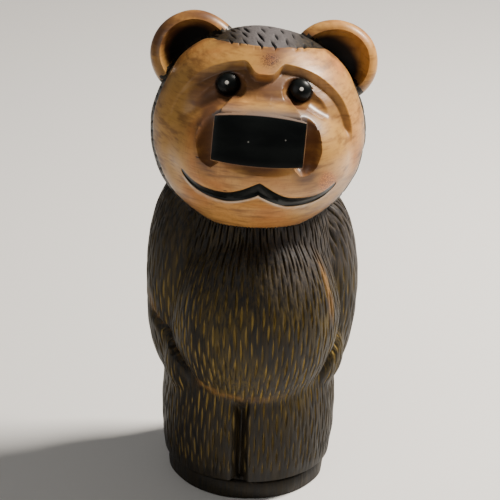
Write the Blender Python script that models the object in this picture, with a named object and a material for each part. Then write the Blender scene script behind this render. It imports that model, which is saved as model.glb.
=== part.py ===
"""A standing bear carved with a chainsaw from one length of log, on its low round plinth.

Metres, +Z up. The origin is at the middle of the plinth's underside and the bear looks along -Y.
The body is a log blank whose vertices are moved along rays from the log's axis, out to the carved form.
The head is a ball carved the same way. Brow, muzzle, eyes, nose, mouth and ears are cut from it or joined
to it with Booleans, and placed in the head's own frame: across the face, out of it, and up it.
"""

from math import cos, pi, radians, sin

import bmesh
import bpy
import numpy as np
from mathutils import Matrix, Vector

# Body, as forms of (middle, radii), with heights as shares of the log that the body takes up
BODY_TOP = 0.310
TORSO = ((0.0, 0.006, 0.613 * BODY_TOP), (0.082, 0.079, 0.516 * BODY_TOP))
BELLY = ((0.0, -0.028, 0.574 * BODY_TOP), (0.080, 0.074, 0.323 * BODY_TOP))
UPPER_ARM = ((0.066, 0.008, 0.603 * BODY_TOP), (0.036, 0.044, 0.323 * BODY_TOP))
FOREARM = ((0.056, -0.026, 0.435 * BODY_TOP), (0.030, 0.032, 0.123 * BODY_TOP))
LEGS = ((0.0, 0.0, 0.226 * BODY_TOP), (0.0835, 0.0835, 0.548 * BODY_TOP))
TORSO_TURN = radians(7)
BODY_BLEND = 0.005
CREASE_DEPTH = 0.007
CREASE_WIDTH = 0.006
CREASE_TOP = 0.80 * BODY_TOP
CREASE_FADE = 0.16 * BODY_TOP

# Legs and plinth
CLEFT_DEPTH = 0.014
CLEFT_WIDTH = 0.020
CLEFT_OFFSET = -0.007
BACK_CLEFT_SHARE = 0.5
PLINTH_RADIUS = 0.075
PLINTH_HEIGHT = 0.018
PLINTH_GROOVE = 0.004

# Head
HEAD_LIFT = 0.040
HEAD_BACK = 0.004
HEAD_TILT = radians(20)
HEAD_ROLL = radians(3.9)
HEAD_TURN = radians(2.0)
SKULL = (0.1010, 0.0900, 0.0965)
FACE_EDGE = radians(75)
HAIRLINE_DROP = radians(18)
HAIRLINE_SPREAD = radians(28)
FACE_STEP = 0.0015

# Recess under the brow
RECESS_DEPTH = 0.008
RECESS_SIDE_DEPTH = 0.003
BROW_HEIGHT = 0.0635
BROW_HALF_WIDTH = 0.084
BROW_ROUNDNESS = 2.4
BROW_DIP = 0.0115
BROW_DIP_WIDTH = 0.011
BROW_POINTS = 31
RECESS_FOOT = -0.004

# Muzzle and nose, each middle as (across, out, up)
MUZZLE_MIDDLE = (0.002, 0.034, -0.016)
MUZZLE = (0.084, 0.070, 0.057)
NOSE_OFFSET = -0.0022
NOSE_HALF_WIDTH = 0.0413
NOSE_TOP = 0.0125
NOSE_BOTTOM = -0.0275
NOSE_ARCH = 0.003
NOSE_ARCH_CUTS = 3
NOSE_PROUD = 0.004
NOSE_DEPTH = 0.045
NOSE_TOP_RISE = 0.018
NOSE_BACK_SHARE = 0.70
NOSE_LEAN = 0.003
HOLLOW_RADII = (0.0115, 0.012, 0.027)
HOLLOW_GAP = 0.004
HOLLOW_OUT = 0.013

# Eyes
EYE_SPACING = 0.065
EYE_HEIGHT = 0.040
EYE_RADIUS = 0.012
EYE_SINK = 0.007
SOCKET_RADIUS = 0.0175
SOCKET_DEPTH = 0.009

# Mouth, a smile whose middle rises to a point
MOUTH_OFFSET = 0.0025
MOUTH_HALF_WIDTH = 0.070
MOUTH_PEAK = -0.0505
MOUTH_SAG = 0.0103
MOUTH_SAG_END = 0.45
MOUTH_LIFT = 0.0208
MOUTH_CURL = 4.5
MOUTH_GAUGE = 0.0055
MOUTH_TIP = 0.12
MOUTH_TAPER = 0.6
MOUTH_POINTS = 12

# Ears
EAR_SPREAD = radians(43.5)
EAR_RADIUS = 0.0365
EAR_HALF_DEPTH = 0.020
EAR_BACK = 0.010
CUP_RADIUS = 0.0295
CUP_HALF_DEPTH = 0.022

# Fur: a gouge stroke is two columns wide and two rows long, and each row is staggered from the next
GOUGE_DEPTH = 0.0030
GOUGE_FOOT = 0.35
BODY_STROKES = 45
BODY_ROWS = 20
HEAD_STROKES = 38
HEAD_ROWS = 11
CROWN_ROWS = 3
FACE_ROWS = 5
FORM_FACETS = (22, 10)
MUZZLE_FACETS = (30, 14)
CUT_FACETS = (19, 9)
WELD = 1e-6


def soft_max(a, b, blend):
    """The larger of two distances, rounded where they are within blend of each other."""
    near = np.clip(blend - np.abs(a - b), 0, None) / blend
    return np.maximum(a, b) + near * near * blend / 4


def smooth_step(value):
    share = np.clip(value, 0, 1)
    return share * share * (3 - 2 * share)


def reach(start, rays, form):
    """How far each ray from start goes before it leaves the form, or 0 where it misses."""
    middle, radii = (np.array(v) for v in form)
    ray = rays / radii
    offset = (start - middle) / radii
    a = (ray * ray).sum(-1)
    b = (ray * offset).sum(-1)
    c = (offset * offset).sum(-1) - 1
    inside = b * b - a * c
    far = (-b + np.sqrt(np.clip(inside, 0, None))) / a
    return np.where(inside > 0, np.clip(far, 0, None), 0)


def mirrored(form):
    """The same form on the other side of the bear."""
    (x, y, z), radii = form
    return (-x, y, z), radii


def level_rays(angle):
    """Rays out of the log's axis. Angle 0 is the front and rises towards +X."""
    return np.stack([np.sin(angle), -np.cos(angle), np.zeros_like(angle)], -1)


def body_radius(angle, height):
    """Distance from the log's axis to the carved body."""
    turned = level_rays(angle - TORSO_TURN)
    start = np.stack([np.zeros_like(height), np.zeros_like(height), height], -1)
    trunk = soft_max(reach(start, turned, TORSO), reach(start, turned, BELLY), BODY_BLEND)
    arms = np.zeros_like(trunk)
    for form in (UPPER_ARM, FOREARM):
        for side in (form, mirrored(form)):
            arms = soft_max(arms, reach(start, turned, side), BODY_BLEND)
    crease = np.clip(1 - np.abs(trunk - arms) / CREASE_WIDTH, 0, 1)
    crease = crease * smooth_step((CREASE_TOP - height) / CREASE_FADE)
    body = soft_max(trunk, arms, BODY_BLEND) - CREASE_DEPTH * crease
    legs = reach(start, level_rays(angle), LEGS)
    off_cleft = np.abs(legs * np.sin(angle) - CLEFT_OFFSET) / (CLEFT_WIDTH / 2)
    cleft = np.clip(1 - off_cleft, 0, 1) * np.where(np.cos(angle) > 0, 1, BACK_CLEFT_SHARE)
    return soft_max(body, legs - CLEFT_DEPTH * cleft, BODY_BLEND)


def face_frame():
    """The head's frame: X across the face, -Y out of it and Z up it."""
    turn = Matrix.Rotation(HEAD_TURN, 4, "Z")
    tilt = Matrix.Rotation(-HEAD_TILT, 4, "X")
    roll = Matrix.Rotation(HEAD_ROLL, 4, "Y")
    return Matrix.Translation((0, HEAD_BACK, BODY_TOP + HEAD_LIFT)) @ turn @ tilt @ roll


def face_edge(around):
    """Angle from the face's axis to the fur. Around is 0 at the top of the face, where the hairline dips."""
    return FACE_EDGE - HAIRLINE_DROP * np.exp(-((around / HAIRLINE_SPREAD) ** 2))


def skin_out(across, up, radii):
    """How far out of the face an ellipsoid of these radii stands at a place on it."""
    return radii[1] * np.sqrt(np.clip(1 - (across / radii[0]) ** 2 - (up / radii[2]) ** 2, 0, 1))


def recess_radii():
    return SKULL[0] - RECESS_SIDE_DEPTH, SKULL[1] - RECESS_DEPTH, SKULL[2] - RECESS_DEPTH


def muzzle_front():
    return MUZZLE_MIDDLE[1] + MUZZLE[1]


def brow_line(across):
    """Height of the brow's lower edge: two arches with a dip between them."""
    share = np.abs(across) / BROW_HALF_WIDTH
    arch = BROW_HEIGHT * np.sqrt(np.clip(1 - share**BROW_ROUNDNESS, 0, 1))
    return arch - BROW_DIP * np.exp(-((across / BROW_DIP_WIDTH) ** 2))


def mouth_line(share):
    """The smile as (across, up) from the mouth's middle, where share is 0, to its corner, where it is 1."""
    sag = MOUTH_SAG * np.sin(np.clip(share / MOUTH_SAG_END, 0, 1) * pi / 2)
    return share * MOUTH_HALF_WIDTH, MOUTH_PEAK - sag + MOUTH_LIFT * share**MOUTH_CURL


def vertex_array(bm):
    return np.array([v.co for v in bm.verts])


def carve_fur(bm, low):
    """Cuts each four-sided face between its high corners, so each low vertex is the foot of one stroke."""
    bm.verts.index_update()
    for face in list(bm.faces):
        corners = list(face.verts)
        high = [v for v in corners if not low[v.index]]
        if len(corners) == 4 and len(high) == 2 and corners.index(high[1]) - corners.index(high[0]) == 2:
            bmesh.utils.face_split(face, high[0], high[1])


def finish_object(name, bm, collection):
    """The shape as an object, in triangles, because a bent four-sided face spoils a Boolean."""
    bmesh.ops.triangulate(bm, faces=bm.faces)
    mesh = bpy.data.meshes.new(name)
    bm.to_mesh(mesh)
    bm.free()
    made = bpy.data.objects.new(name, mesh)
    collection.objects.link(made)
    return made


def boolean(target, other, operation):
    modifier = target.modifiers.new(f"{operation.lower()} {other.name}", "BOOLEAN")
    modifier.object = other
    modifier.operation = operation
    modifier.solver = "EXACT"


def make_body(collection):
    """The log blank, cut into rings, then carved. The lowest ring is the plinth and the next its groove."""
    bm = bmesh.new()
    columns = 2 * BODY_STROKES
    plinth_rows = 3
    rings = plinth_rows + BODY_ROWS
    blank = Matrix.Translation((0, 0, BODY_TOP / 2))
    bmesh.ops.create_cone(
        bm, cap_ends=True, segments=columns, radius1=1, radius2=1, depth=BODY_TOP, matrix=blank
    )
    upright = [e for e in bm.edges if abs(e.verts[0].co.z - e.verts[1].co.z) > BODY_TOP / 2]
    bmesh.ops.subdivide_edges(bm, edges=upright, cuts=rings - 1, use_grid_fill=True)
    co = vertex_array(bm)
    ring = np.round(co[:, 2] / BODY_TOP * rings).astype(int)
    column = np.round(np.arctan2(co[:, 0], -co[:, 1]) / (2 * pi) * columns).astype(int)
    fur = np.linspace(PLINTH_HEIGHT + PLINTH_GROOVE, BODY_TOP, BODY_ROWS + 1)
    heights = np.concatenate([[0, PLINTH_HEIGHT, PLINTH_HEIGHT + PLINTH_GROOVE / 2], fur])
    low = ((ring + column) % 2 == 0) & (ring > plinth_rows) & (ring < rings)
    height = heights[ring] - GOUGE_FOOT * (fur[1] - fur[0]) * low
    angle = column * 2 * pi / columns
    radius = body_radius(angle, height) - GOUGE_DEPTH * low
    radius = np.where(ring < plinth_rows, PLINTH_RADIUS - PLINTH_GROOVE * (ring == plinth_rows - 1), radius)
    for v, a, h, r in zip(bm.verts, angle, height, radius):
        v.co = (r * sin(a), -r * cos(a), h)
    carve_fur(bm, low)
    return finish_object("carved_bear", bm, collection)


def make_skull(helpers):
    """A ball whose rings circle the face, with strokes that run back from the face's edge to the crown."""
    bm = bmesh.new()
    columns = 2 * HEAD_STROKES
    rings = FACE_ROWS + HEAD_ROWS + CROWN_ROWS
    bmesh.ops.create_uvsphere(bm, u_segments=columns, v_segments=rings, radius=1)
    co = vertex_array(bm)
    ring = np.round(np.arccos(np.clip(co[:, 2], -1, 1)) / pi * rings).astype(int)
    around = np.arctan2(co[:, 1], co[:, 0])
    column = np.round(around / (2 * pi) * columns).astype(int)
    edge = face_edge(around)
    step = (pi - edge) / (rings - FACE_ROWS)
    furred = ring > FACE_ROWS
    low = furred & ((ring + column) % 2 == 0) & (ring <= FACE_ROWS + HEAD_ROWS)
    bend = np.where(furred, edge + step * (ring - FACE_ROWS + GOUGE_FOOT * low), edge * ring / FACE_ROWS)
    rays = np.stack([-np.sin(bend) * np.sin(around), -np.cos(bend), np.sin(bend) * np.cos(around)], -1)
    radius = reach(np.zeros(3), rays, ((0, 0, 0), SKULL)) - FACE_STEP * furred - GOUGE_DEPTH * low
    for v, ray, r in zip(bm.verts, rays, radius):
        v.co = Vector(ray) * r
    carve_fur(bm, low)
    skull = finish_object("skull", bm, helpers)
    skull.matrix_world = face_frame()
    return skull


def make_ball(name, helpers, middle, radii, turn=0.0, facets=FORM_FACETS):
    """An ellipsoid in the head's frame, its middle as (across, out, up), turned in the plane of the face."""
    across, out, up = middle
    place = Matrix.Translation((across, -out, up)) @ Matrix.Rotation(turn, 4, "Y")
    shape = place @ Matrix.Diagonal((*radii, 1)) @ Matrix.Rotation(pi / 2, 4, "X")
    bm = bmesh.new()
    bmesh.ops.create_uvsphere(bm, u_segments=facets[0], v_segments=facets[1], radius=1, matrix=shape)
    made = finish_object(name, bm, helpers)
    made.matrix_world = face_frame()
    return made


def mesh_of_curve(curve, name, helpers, matrix):
    """The curve as a closed mesh object, with its caps welded on."""
    guide = bpy.data.objects.new(f"{name}_guide", curve)
    helpers.objects.link(guide)
    bpy.context.view_layer.update()
    mesh = bpy.data.meshes.new_from_object(guide.evaluated_get(bpy.context.evaluated_depsgraph_get()))
    bm = bmesh.new()
    bm.from_mesh(mesh)
    bmesh.ops.remove_doubles(bm, verts=bm.verts, dist=WELD)
    bmesh.ops.recalc_face_normals(bm, faces=bm.faces)
    bpy.data.objects.remove(guide)
    made = finish_object(name, bm, helpers)
    made.matrix_world = matrix
    return made


def make_recess(helpers):
    """What the carver took out under the brow: the brow's outline driven in, down to an inner ball."""
    curve = bpy.data.curves.new("brow_outline", "CURVE")
    curve.dimensions = "2D"
    curve.fill_mode = "BOTH"
    curve.extrude = muzzle_front() / 2
    across = BROW_HALF_WIDTH * np.sin(np.linspace(-pi / 2, pi / 2, BROW_POINTS))
    corners = list(zip(across, brow_line(across)))
    corners += [(BROW_HALF_WIDTH, RECESS_FOOT), (-BROW_HALF_WIDTH, RECESS_FOOT)]
    line = curve.splines.new("POLY")
    line.use_cyclic_u = True
    line.points.add(len(corners) - 1)
    for spot, (u, v) in zip(line.points, corners):
        spot.co = (u, v, 0, 1)
    upright = Matrix.Translation((0, -muzzle_front() / 2, 0)) @ Matrix.Rotation(pi / 2, 4, "X")
    recess = mesh_of_curve(curve, "recess", helpers, face_frame() @ upright)
    boolean(recess, make_ball("recess_floor", helpers, (0, 0, 0), recess_radii()), "DIFFERENCE")
    return recess


def make_nose(helpers):
    """The flat nose panel: its face leans back at the foot, and its top slopes up into the muzzle."""
    bm = bmesh.new()
    bmesh.ops.create_cube(bm, size=2)
    level = [e for e in bm.edges if abs(e.verts[0].co.x - e.verts[1].co.x) > 1]
    bmesh.ops.subdivide_edges(bm, edges=level, cuts=NOSE_ARCH_CUTS)
    front = muzzle_front() + NOSE_PROUD
    for v in bm.verts:
        x, y, z = v.co
        arch = NOSE_ARCH * (1 - x * x)
        up = NOSE_TOP + arch + NOSE_TOP_RISE * (y > 0) if z > 0 else NOSE_BOTTOM - arch
        out = front - NOSE_DEPTH * (y > 0) - NOSE_LEAN * (z < 0)
        half_width = NOSE_HALF_WIDTH * (NOSE_BACK_SHARE if y > 0 else 1)
        v.co = (NOSE_OFFSET + x * half_width, -out, up)
    nose = finish_object("nose", bm, helpers)
    nose.matrix_world = face_frame()
    return nose


def make_mouth(side, helpers):
    """Half of the smile: a tapering gouge run along the skin from the middle to the corner."""
    share = np.linspace(0, 1, MOUTH_POINTS)
    across, up = mouth_line(share)
    across = MOUTH_OFFSET + side * across
    muzzle = MUZZLE_MIDDLE[1] + skin_out(across - MUZZLE_MIDDLE[0], up - MUZZLE_MIDDLE[2], MUZZLE)
    out = np.maximum(skin_out(across, up, SKULL), muzzle)
    curve = bpy.data.curves.new(f"mouth_line_{side}", "CURVE")
    curve.dimensions = "3D"
    curve.bevel_depth = MOUTH_GAUGE
    curve.bevel_resolution = 1
    curve.use_fill_caps = True
    line = curve.splines.new("POLY")
    line.points.add(MOUTH_POINTS - 1)
    for spot, u, w, v, s in zip(line.points, across, out, up, share):
        spot.co = (u, -w, v, 1)
        spot.radius = MOUTH_TIP + (1 - MOUTH_TIP) * (1 - s) ** MOUTH_TAPER
    return mesh_of_curve(curve, f"mouth_gouge_{side}", helpers, face_frame())


def make_ear(side, helpers):
    """A thick round ear on the skin of the head, hollowed from the front."""
    spread = side * EAR_SPREAD
    ray = np.array([sin(spread), 0, cos(spread)])
    across, _, up = ray * float(reach(np.zeros(3), ray, ((0, 0, 0), SKULL)))
    solid = (EAR_RADIUS, EAR_HALF_DEPTH, EAR_RADIUS)
    ear = make_ball(f"ear_{side}", helpers, (across, -EAR_BACK, up), solid, spread)
    front = EAR_HALF_DEPTH - EAR_BACK
    hollow = (CUP_RADIUS, CUP_HALF_DEPTH, CUP_RADIUS)
    cup = make_ball(f"ear_cup_{side}", helpers, (across, front, up), hollow, spread, CUT_FACETS)
    boolean(ear, cup, "DIFFERENCE")
    return ear


def make_head(helpers):
    head = make_skull(helpers)
    boolean(head, make_recess(helpers), "DIFFERENCE")
    boolean(head, make_ball("muzzle", helpers, MUZZLE_MIDDLE, MUZZLE, facets=MUZZLE_FACETS), "UNION")
    for side in (-1, 1):
        across = side * EYE_SPACING / 2
        floor = float(skin_out(across, EYE_HEIGHT, recess_radii()))
        middle = (across, floor + SOCKET_RADIUS - SOCKET_DEPTH, EYE_HEIGHT)
        socket = make_ball(f"eye_socket_{side}", helpers, middle, (SOCKET_RADIUS,) * 3, facets=CUT_FACETS)
        boolean(head, socket, "DIFFERENCE")
        middle = (across, floor - EYE_SINK, EYE_HEIGHT)
        boolean(head, make_ball(f"eye_{side}", helpers, middle, (EYE_RADIUS,) * 3), "UNION")
        beside = NOSE_OFFSET + side * (NOSE_HALF_WIDTH + HOLLOW_GAP)
        middle = (beside, muzzle_front() - HOLLOW_OUT, (NOSE_TOP + NOSE_BOTTOM) / 2)
        hollow = make_ball(f"nose_hollow_{side}", helpers, middle, HOLLOW_RADII, facets=CUT_FACETS)
        boolean(head, hollow, "DIFFERENCE")
    boolean(head, make_nose(helpers), "UNION")
    for side in (-1, 1):
        boolean(head, make_mouth(side, helpers), "DIFFERENCE")
        boolean(head, make_ear(side, helpers), "UNION")
    return head


def wood(name, colour, roughness):
    material = bpy.data.materials.new(name)
    material.use_nodes = True
    shader = material.node_tree.nodes["Principled BSDF"]
    shader.inputs["Base Color"].default_value = (*colour, 1)
    shader.inputs["Roughness"].default_value = roughness
    return material


def main():
    for old in list(bpy.data.objects):
        bpy.data.objects.remove(old)
    parts = bpy.data.collections.new("carved bear")
    helpers = bpy.data.collections.new("cutters")
    bpy.context.scene.collection.children.link(parts)
    bpy.context.scene.collection.children.link(helpers)
    bear = make_body(parts)
    bear.data.materials.append(wood("stained wood", (0.10, 0.07, 0.04), 0.5))
    boolean(bear, make_head(helpers), "UNION")
    for helper in helpers.objects:
        helper.hide_render = True
        helper.display_type = "WIRE"


main()
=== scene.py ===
"""The finished surface of the standing bear: fur gouged into a log, a smooth varnished face and black paint."""

from math import cos, pi, radians, sin

import bmesh
import bpy
import numpy as np
from mathutils import Matrix, Vector


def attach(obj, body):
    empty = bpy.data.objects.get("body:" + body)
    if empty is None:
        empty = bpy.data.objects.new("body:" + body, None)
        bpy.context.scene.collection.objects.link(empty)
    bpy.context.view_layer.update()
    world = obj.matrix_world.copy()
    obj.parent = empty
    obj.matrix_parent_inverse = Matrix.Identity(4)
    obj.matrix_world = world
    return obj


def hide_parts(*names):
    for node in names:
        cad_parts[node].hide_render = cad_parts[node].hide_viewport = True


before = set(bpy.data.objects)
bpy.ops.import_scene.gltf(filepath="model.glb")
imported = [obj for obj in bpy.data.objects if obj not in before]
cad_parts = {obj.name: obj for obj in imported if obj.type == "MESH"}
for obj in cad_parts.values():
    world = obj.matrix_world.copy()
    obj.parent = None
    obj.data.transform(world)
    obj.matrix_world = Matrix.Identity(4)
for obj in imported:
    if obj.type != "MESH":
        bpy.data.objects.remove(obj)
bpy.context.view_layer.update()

# ---------------------------------------------------------------- body
# The log, cut to shoulders, arms, belly, legs and a low round plinth, all one piece of wood. The fur is cut
# with a gouge in staggered strokes that taper to both ends. The wood is stained black-brown and varnished.

BODY_TOP = 0.310
TORSO = ((0.0, 0.006, 0.613 * BODY_TOP), (0.082, 0.079, 0.516 * BODY_TOP))
BELLY = ((0.0, -0.028, 0.574 * BODY_TOP), (0.080, 0.074, 0.323 * BODY_TOP))
RIGHT_ARM = (
    ((0.066, 0.008, 0.603 * BODY_TOP), (0.036, 0.044, 0.323 * BODY_TOP)),
    ((0.056, -0.026, 0.435 * BODY_TOP), (0.030, 0.032, 0.123 * BODY_TOP)),
)
LEFT_SHOULDER = ((-0.0635, 0.006, 0.670 * BODY_TOP), (0.0370, 0.046, 0.330 * BODY_TOP))
LEFT_ARM = (
    ((-0.062, 0.004, 0.575 * BODY_TOP), (0.0375, 0.044, 0.275 * BODY_TOP)),
    ((-0.055, -0.026, 0.425 * BODY_TOP), (0.030, 0.031, 0.130 * BODY_TOP)),
)
LEGS = ((0.0, 0.0, 0.226 * BODY_TOP), (0.0835, 0.0835, 0.548 * BODY_TOP))
TORSO_TURN = radians(7)
BODY_BLEND = 0.004
CREASE_DEPTH, CREASE_WIDTH, HOLLOW_WIDTH = 0.007, 0.006, 0.012
ELBOW_LINE, ELBOW_STEP = (0.130, 0.178), 0.012
CREASE_TOP, CREASE_FADE = 0.80 * BODY_TOP, 0.16 * BODY_TOP
CLEFT_DEPTH, CLEFT_WIDTH, CLEFT_OFFSET, BACK_CLEFT_SHARE = 0.014, 0.020, -0.007, 0.5
PLINTH_RADIUS, PLINTH_HEIGHT, PLINTH_GROOVE = 0.075, 0.018, 0.004
BODY_COLUMNS, BODY_ROWS = 124, 17
STROKE_DEPTH, STROKE_FOOT = 0.0026, 0.35
STROKE_HALF_WIDTH = 0.32
BODY_SHARES = np.array([0, 0.15, 0.32, 0.68, 0.85])
CUTS_IN_ROW = 4
SHOULDER_LEVEL = 0.225


def soft_max(a, b, blend):
    near = np.clip(blend - np.abs(a - b), 0, None) / blend
    return np.maximum(a, b) + near * near * blend / 4


def soft_min(a, b, blend):
    return -soft_max(-a, -b, blend)


def smooth_step(value):
    share = np.clip(value, 0, 1)
    return share * share * (3 - 2 * share)


def crossing(start, rays, form, far=True):
    """Where each ray leaves the form, or enters it if far is False. A miss is 0 or endless."""
    middle, radii = (np.array(v) for v in form)
    ray, offset = rays / radii, (start - middle) / radii
    a, b, c = (ray * ray).sum(-1), (ray * offset).sum(-1), (offset * offset).sum(-1) - 1
    inside = b * b - a * c
    root = np.sqrt(np.clip(inside, 0, None))
    if far:
        return np.where(inside > 0, np.clip((root - b) / a, 0, None), 0)
    return np.where((inside > 0) & (b < 0), (-root - b) / a, 1.0)


def wander(points, pitch, seed):
    """Smooth random drift of about -1 to 1 that changes over the pitch."""
    rng = np.random.default_rng(seed)
    total = np.zeros(points.shape[:-1])
    for _ in range(7):
        wave = rng.normal(size=3)
        wave *= 2 * pi / pitch * rng.uniform(0.6, 1.4) / np.linalg.norm(wave)
        total += np.sin(points @ wave + rng.uniform(0, 2 * pi))
    return total / 3


def level_rays(angle):
    return np.stack([np.sin(angle), -np.cos(angle), np.zeros_like(angle)], -1)


def body_forms(angle, height):
    """(radius, crease, rim) of the carved body at each angle round the log and height. The rim is how far the
    belly stands over the arms and legs beside it."""
    turned = level_rays(angle - TORSO_TURN)
    start = np.stack([np.zeros_like(height), np.zeros_like(height), height], -1)
    trunk = crossing(start, turned, TORSO)
    trunk = soft_max(trunk, crossing(start, turned, BELLY), BODY_BLEND)
    aside = np.abs(np.arctan2(np.sin(angle), np.cos(angle)))
    on_left = smooth_step(-np.sin(angle) * 3)
    elbow = ELBOW_LINE[0] + (ELBOW_LINE[1] - ELBOW_LINE[0]) * np.clip((aside - radians(35)) / radians(50), 0, 1)
    under = smooth_step((elbow - height) / 0.014 + 0.5)
    step_in = ELBOW_STEP * (1 - 0.8 * smooth_step((aside - radians(62)) / radians(22))) * on_left
    trunk = soft_max(trunk, crossing(start, turned, LEFT_SHOULDER) - step_in * under, BODY_BLEND)
    arms = np.zeros_like(trunk)
    for form in (*RIGHT_ARM, *LEFT_ARM):
        arms = soft_max(arms, crossing(start, turned, form), BODY_BLEND)
    arms = arms - step_in * (1 - under)
    crease = np.clip(1 - np.abs(trunk - arms) / CREASE_WIDTH, 0, 1)
    crease = crease * smooth_step((CREASE_TOP - height) / CREASE_FADE)
    crease = crease * smooth_step((radians(84) - aside) / radians(24))
    body = soft_max(trunk, arms, BODY_BLEND) - CREASE_DEPTH * smooth_step(crease)
    hollow = np.clip(1 - np.abs(arms - trunk - 0.004) / HOLLOW_WIDTH, 0, 1) * on_left
    legs = crossing(start, level_rays(angle), LEGS)
    off_cleft = np.abs(legs * np.sin(angle) - CLEFT_OFFSET) / (CLEFT_WIDTH / 2)
    cleft = smooth_step(1 - off_cleft) * np.where(np.cos(angle) > 0, 1, BACK_CLEFT_SHARE)
    radius = soft_max(body, legs - CLEFT_DEPTH * cleft, BODY_BLEND)
    cleft = cleft * smooth_step((legs - body) / 0.006 + 0.5)
    return radius, np.maximum.reduce([crease, cleft, hollow]), trunk - np.maximum(arms, legs)


def stroke_depth(column, row, parity, columns, seed, half_width=STROKE_HALF_WIDTH, half_length=0.94, wedge=0):
    """Share of the full stroke depth at a place in the lattice of staggered strokes. A wedge of 1 leaves them
    wide at the top and pointed at the foot."""
    nearest = np.round(column).astype(int)
    odd = (nearest + parity) % 2
    draw = np.random.default_rng(seed).uniform(-1, 1, (4, 64, columns))
    middle = 2 * np.round((row - odd) / 2).astype(int) + odd
    shift, longer, wider, deeper = draw[:, middle % 64, nearest % columns]
    half = half_length * (0.83 + 0.17 * longer)
    along = (row - middle - (1 - half) * shift) / half
    width = half_width * (0.92 + 0.22 * wider) * (1 + 0.45 * wedge * np.clip(along, -1, 1))
    taper = np.clip(1 - np.abs(along) ** 2.2, 0, 1) ** (1 - 0.4 * wedge)
    wall = np.clip(taper - np.abs(column - nearest) / width, 0, 1)
    return (0.84 + 0.24 * deeper) * wall


def lattice_place(index, shares):
    """The lattice column of a mesh column, which puts mesh columns on each stroke's foot and edges."""
    return index // len(shares) + shares[index % len(shares)]


bm = bmesh.new()
body_columns = BODY_COLUMNS * len(BODY_SHARES)
fur_foot = PLINTH_HEIGHT + PLINTH_GROOVE
row_height = (BODY_TOP - fur_foot) / BODY_ROWS
plinth = np.array(
    [
        (0, -0.0012),
        (0.0012, 0),
        (0.008, 0.0004),
        (PLINTH_HEIGHT - 0.0018, 0),
        (PLINTH_HEIGHT, -0.0014),
        (PLINTH_HEIGHT + 0.0006, -PLINTH_GROOVE),
        (PLINTH_HEIGHT + PLINTH_GROOVE / 2, -PLINTH_GROOVE - 0.0004),
    ]
)
fur_rows = fur_foot + row_height * np.arange(BODY_ROWS * CUTS_IN_ROW + 1) / CUTS_IN_ROW
ring_heights = np.concatenate([plinth[:, 0], fur_rows])
rings = len(ring_heights) - 1
blank = Matrix.Translation((0, 0, BODY_TOP / 2))
bmesh.ops.create_cone(
    bm, cap_ends=True, segments=body_columns, radius1=1, radius2=1, depth=BODY_TOP, matrix=blank
)
upright = [e for e in bm.edges if abs(e.verts[0].co.z - e.verts[1].co.z) > BODY_TOP / 2]
bmesh.ops.subdivide_edges(bm, edges=upright, cuts=rings - 1, use_grid_fill=True)
co = np.array([v.co for v in bm.verts])
ring = np.round(co[:, 2] / BODY_TOP * rings).astype(int)
index = np.round(np.arctan2(co[:, 0], -co[:, 1]) / (2 * pi) * body_columns).astype(int) % body_columns
column = lattice_place(index, BODY_SHARES)
height = ring_heights[ring]
row = (height - fur_foot) / row_height + STROKE_FOOT
angle = column / BODY_COLUMNS * 2 * pi
spot = np.stack([0.09 * np.sin(angle), 0.09 * np.cos(angle), height], -1)
angle = angle + 0.018 * wander(spot * (1, 1, 0.8), 0.10, 3) + 0.008 * wander(spot * (1, 1, 0.7), 0.035, 4)
smooth, crease, _ = body_forms(angle, height)
furred = smooth_step((height - fur_foot - 0.001) / 0.006)
wedge = smooth_step((height - SHOULDER_LEVEL) / 0.04)
strokes = stroke_depth(column, row, 1, BODY_COLUMNS, 11, wedge=wedge) * furred * (1 - 0.9 * crease) * (1 + 0.85 * wedge)
spot = smooth[:, None] * level_rays(angle) + np.stack([0 * height, 0 * height, height], -1)
radius = smooth - STROKE_DEPTH * strokes + furred * 0.0004 * wander(spot, 0.022, 5)
in_plinth = ring < len(plinth)
radius[in_plinth] = PLINTH_RADIUS + plinth[ring[in_plinth], 1] + 0.0005 * wander(spot, 0.04, 6)[in_plinth]
for v, a, h, r in zip(bm.verts, angle, height, radius):
    v.co = (r * sin(a), -r * cos(a), h)
body_mesh = bpy.data.meshes.new("bear_carving")
bm.normal_update()
bmesh.ops.recalc_face_normals(bm, faces=bm.faces)
bmesh.ops.triangulate(bm, faces=bm.faces)
bm.to_mesh(body_mesh)
bm.free()
FUR, FACE, BLACK = range(3)
slots = [bpy.data.materials.new(name) for name in ("stained_fur", "varnished_face", "gloss_black_paint")]


def paint(made, slot=None):
    """Gives the shape the three materials, and puts all its faces on one if a slot is given."""
    for material in slots:
        made.data.materials.append(material)
    if slot is not None:
        made.data.polygons.foreach_set("material_index", np.full(len(made.data.polygons), slot))


bear = bpy.data.objects.new("bear_carving", body_mesh)
paint(bear, FUR)
bpy.context.scene.collection.objects.link(bear)

# ---------------------------------------------------------------- head
# A ball cut from the top of the same log. The face is shaved and sanded smooth, with a recess driven in under
# the brow and the muzzle left standing. Behind the face's edge the ball has the same gouged fur as the body.

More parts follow.
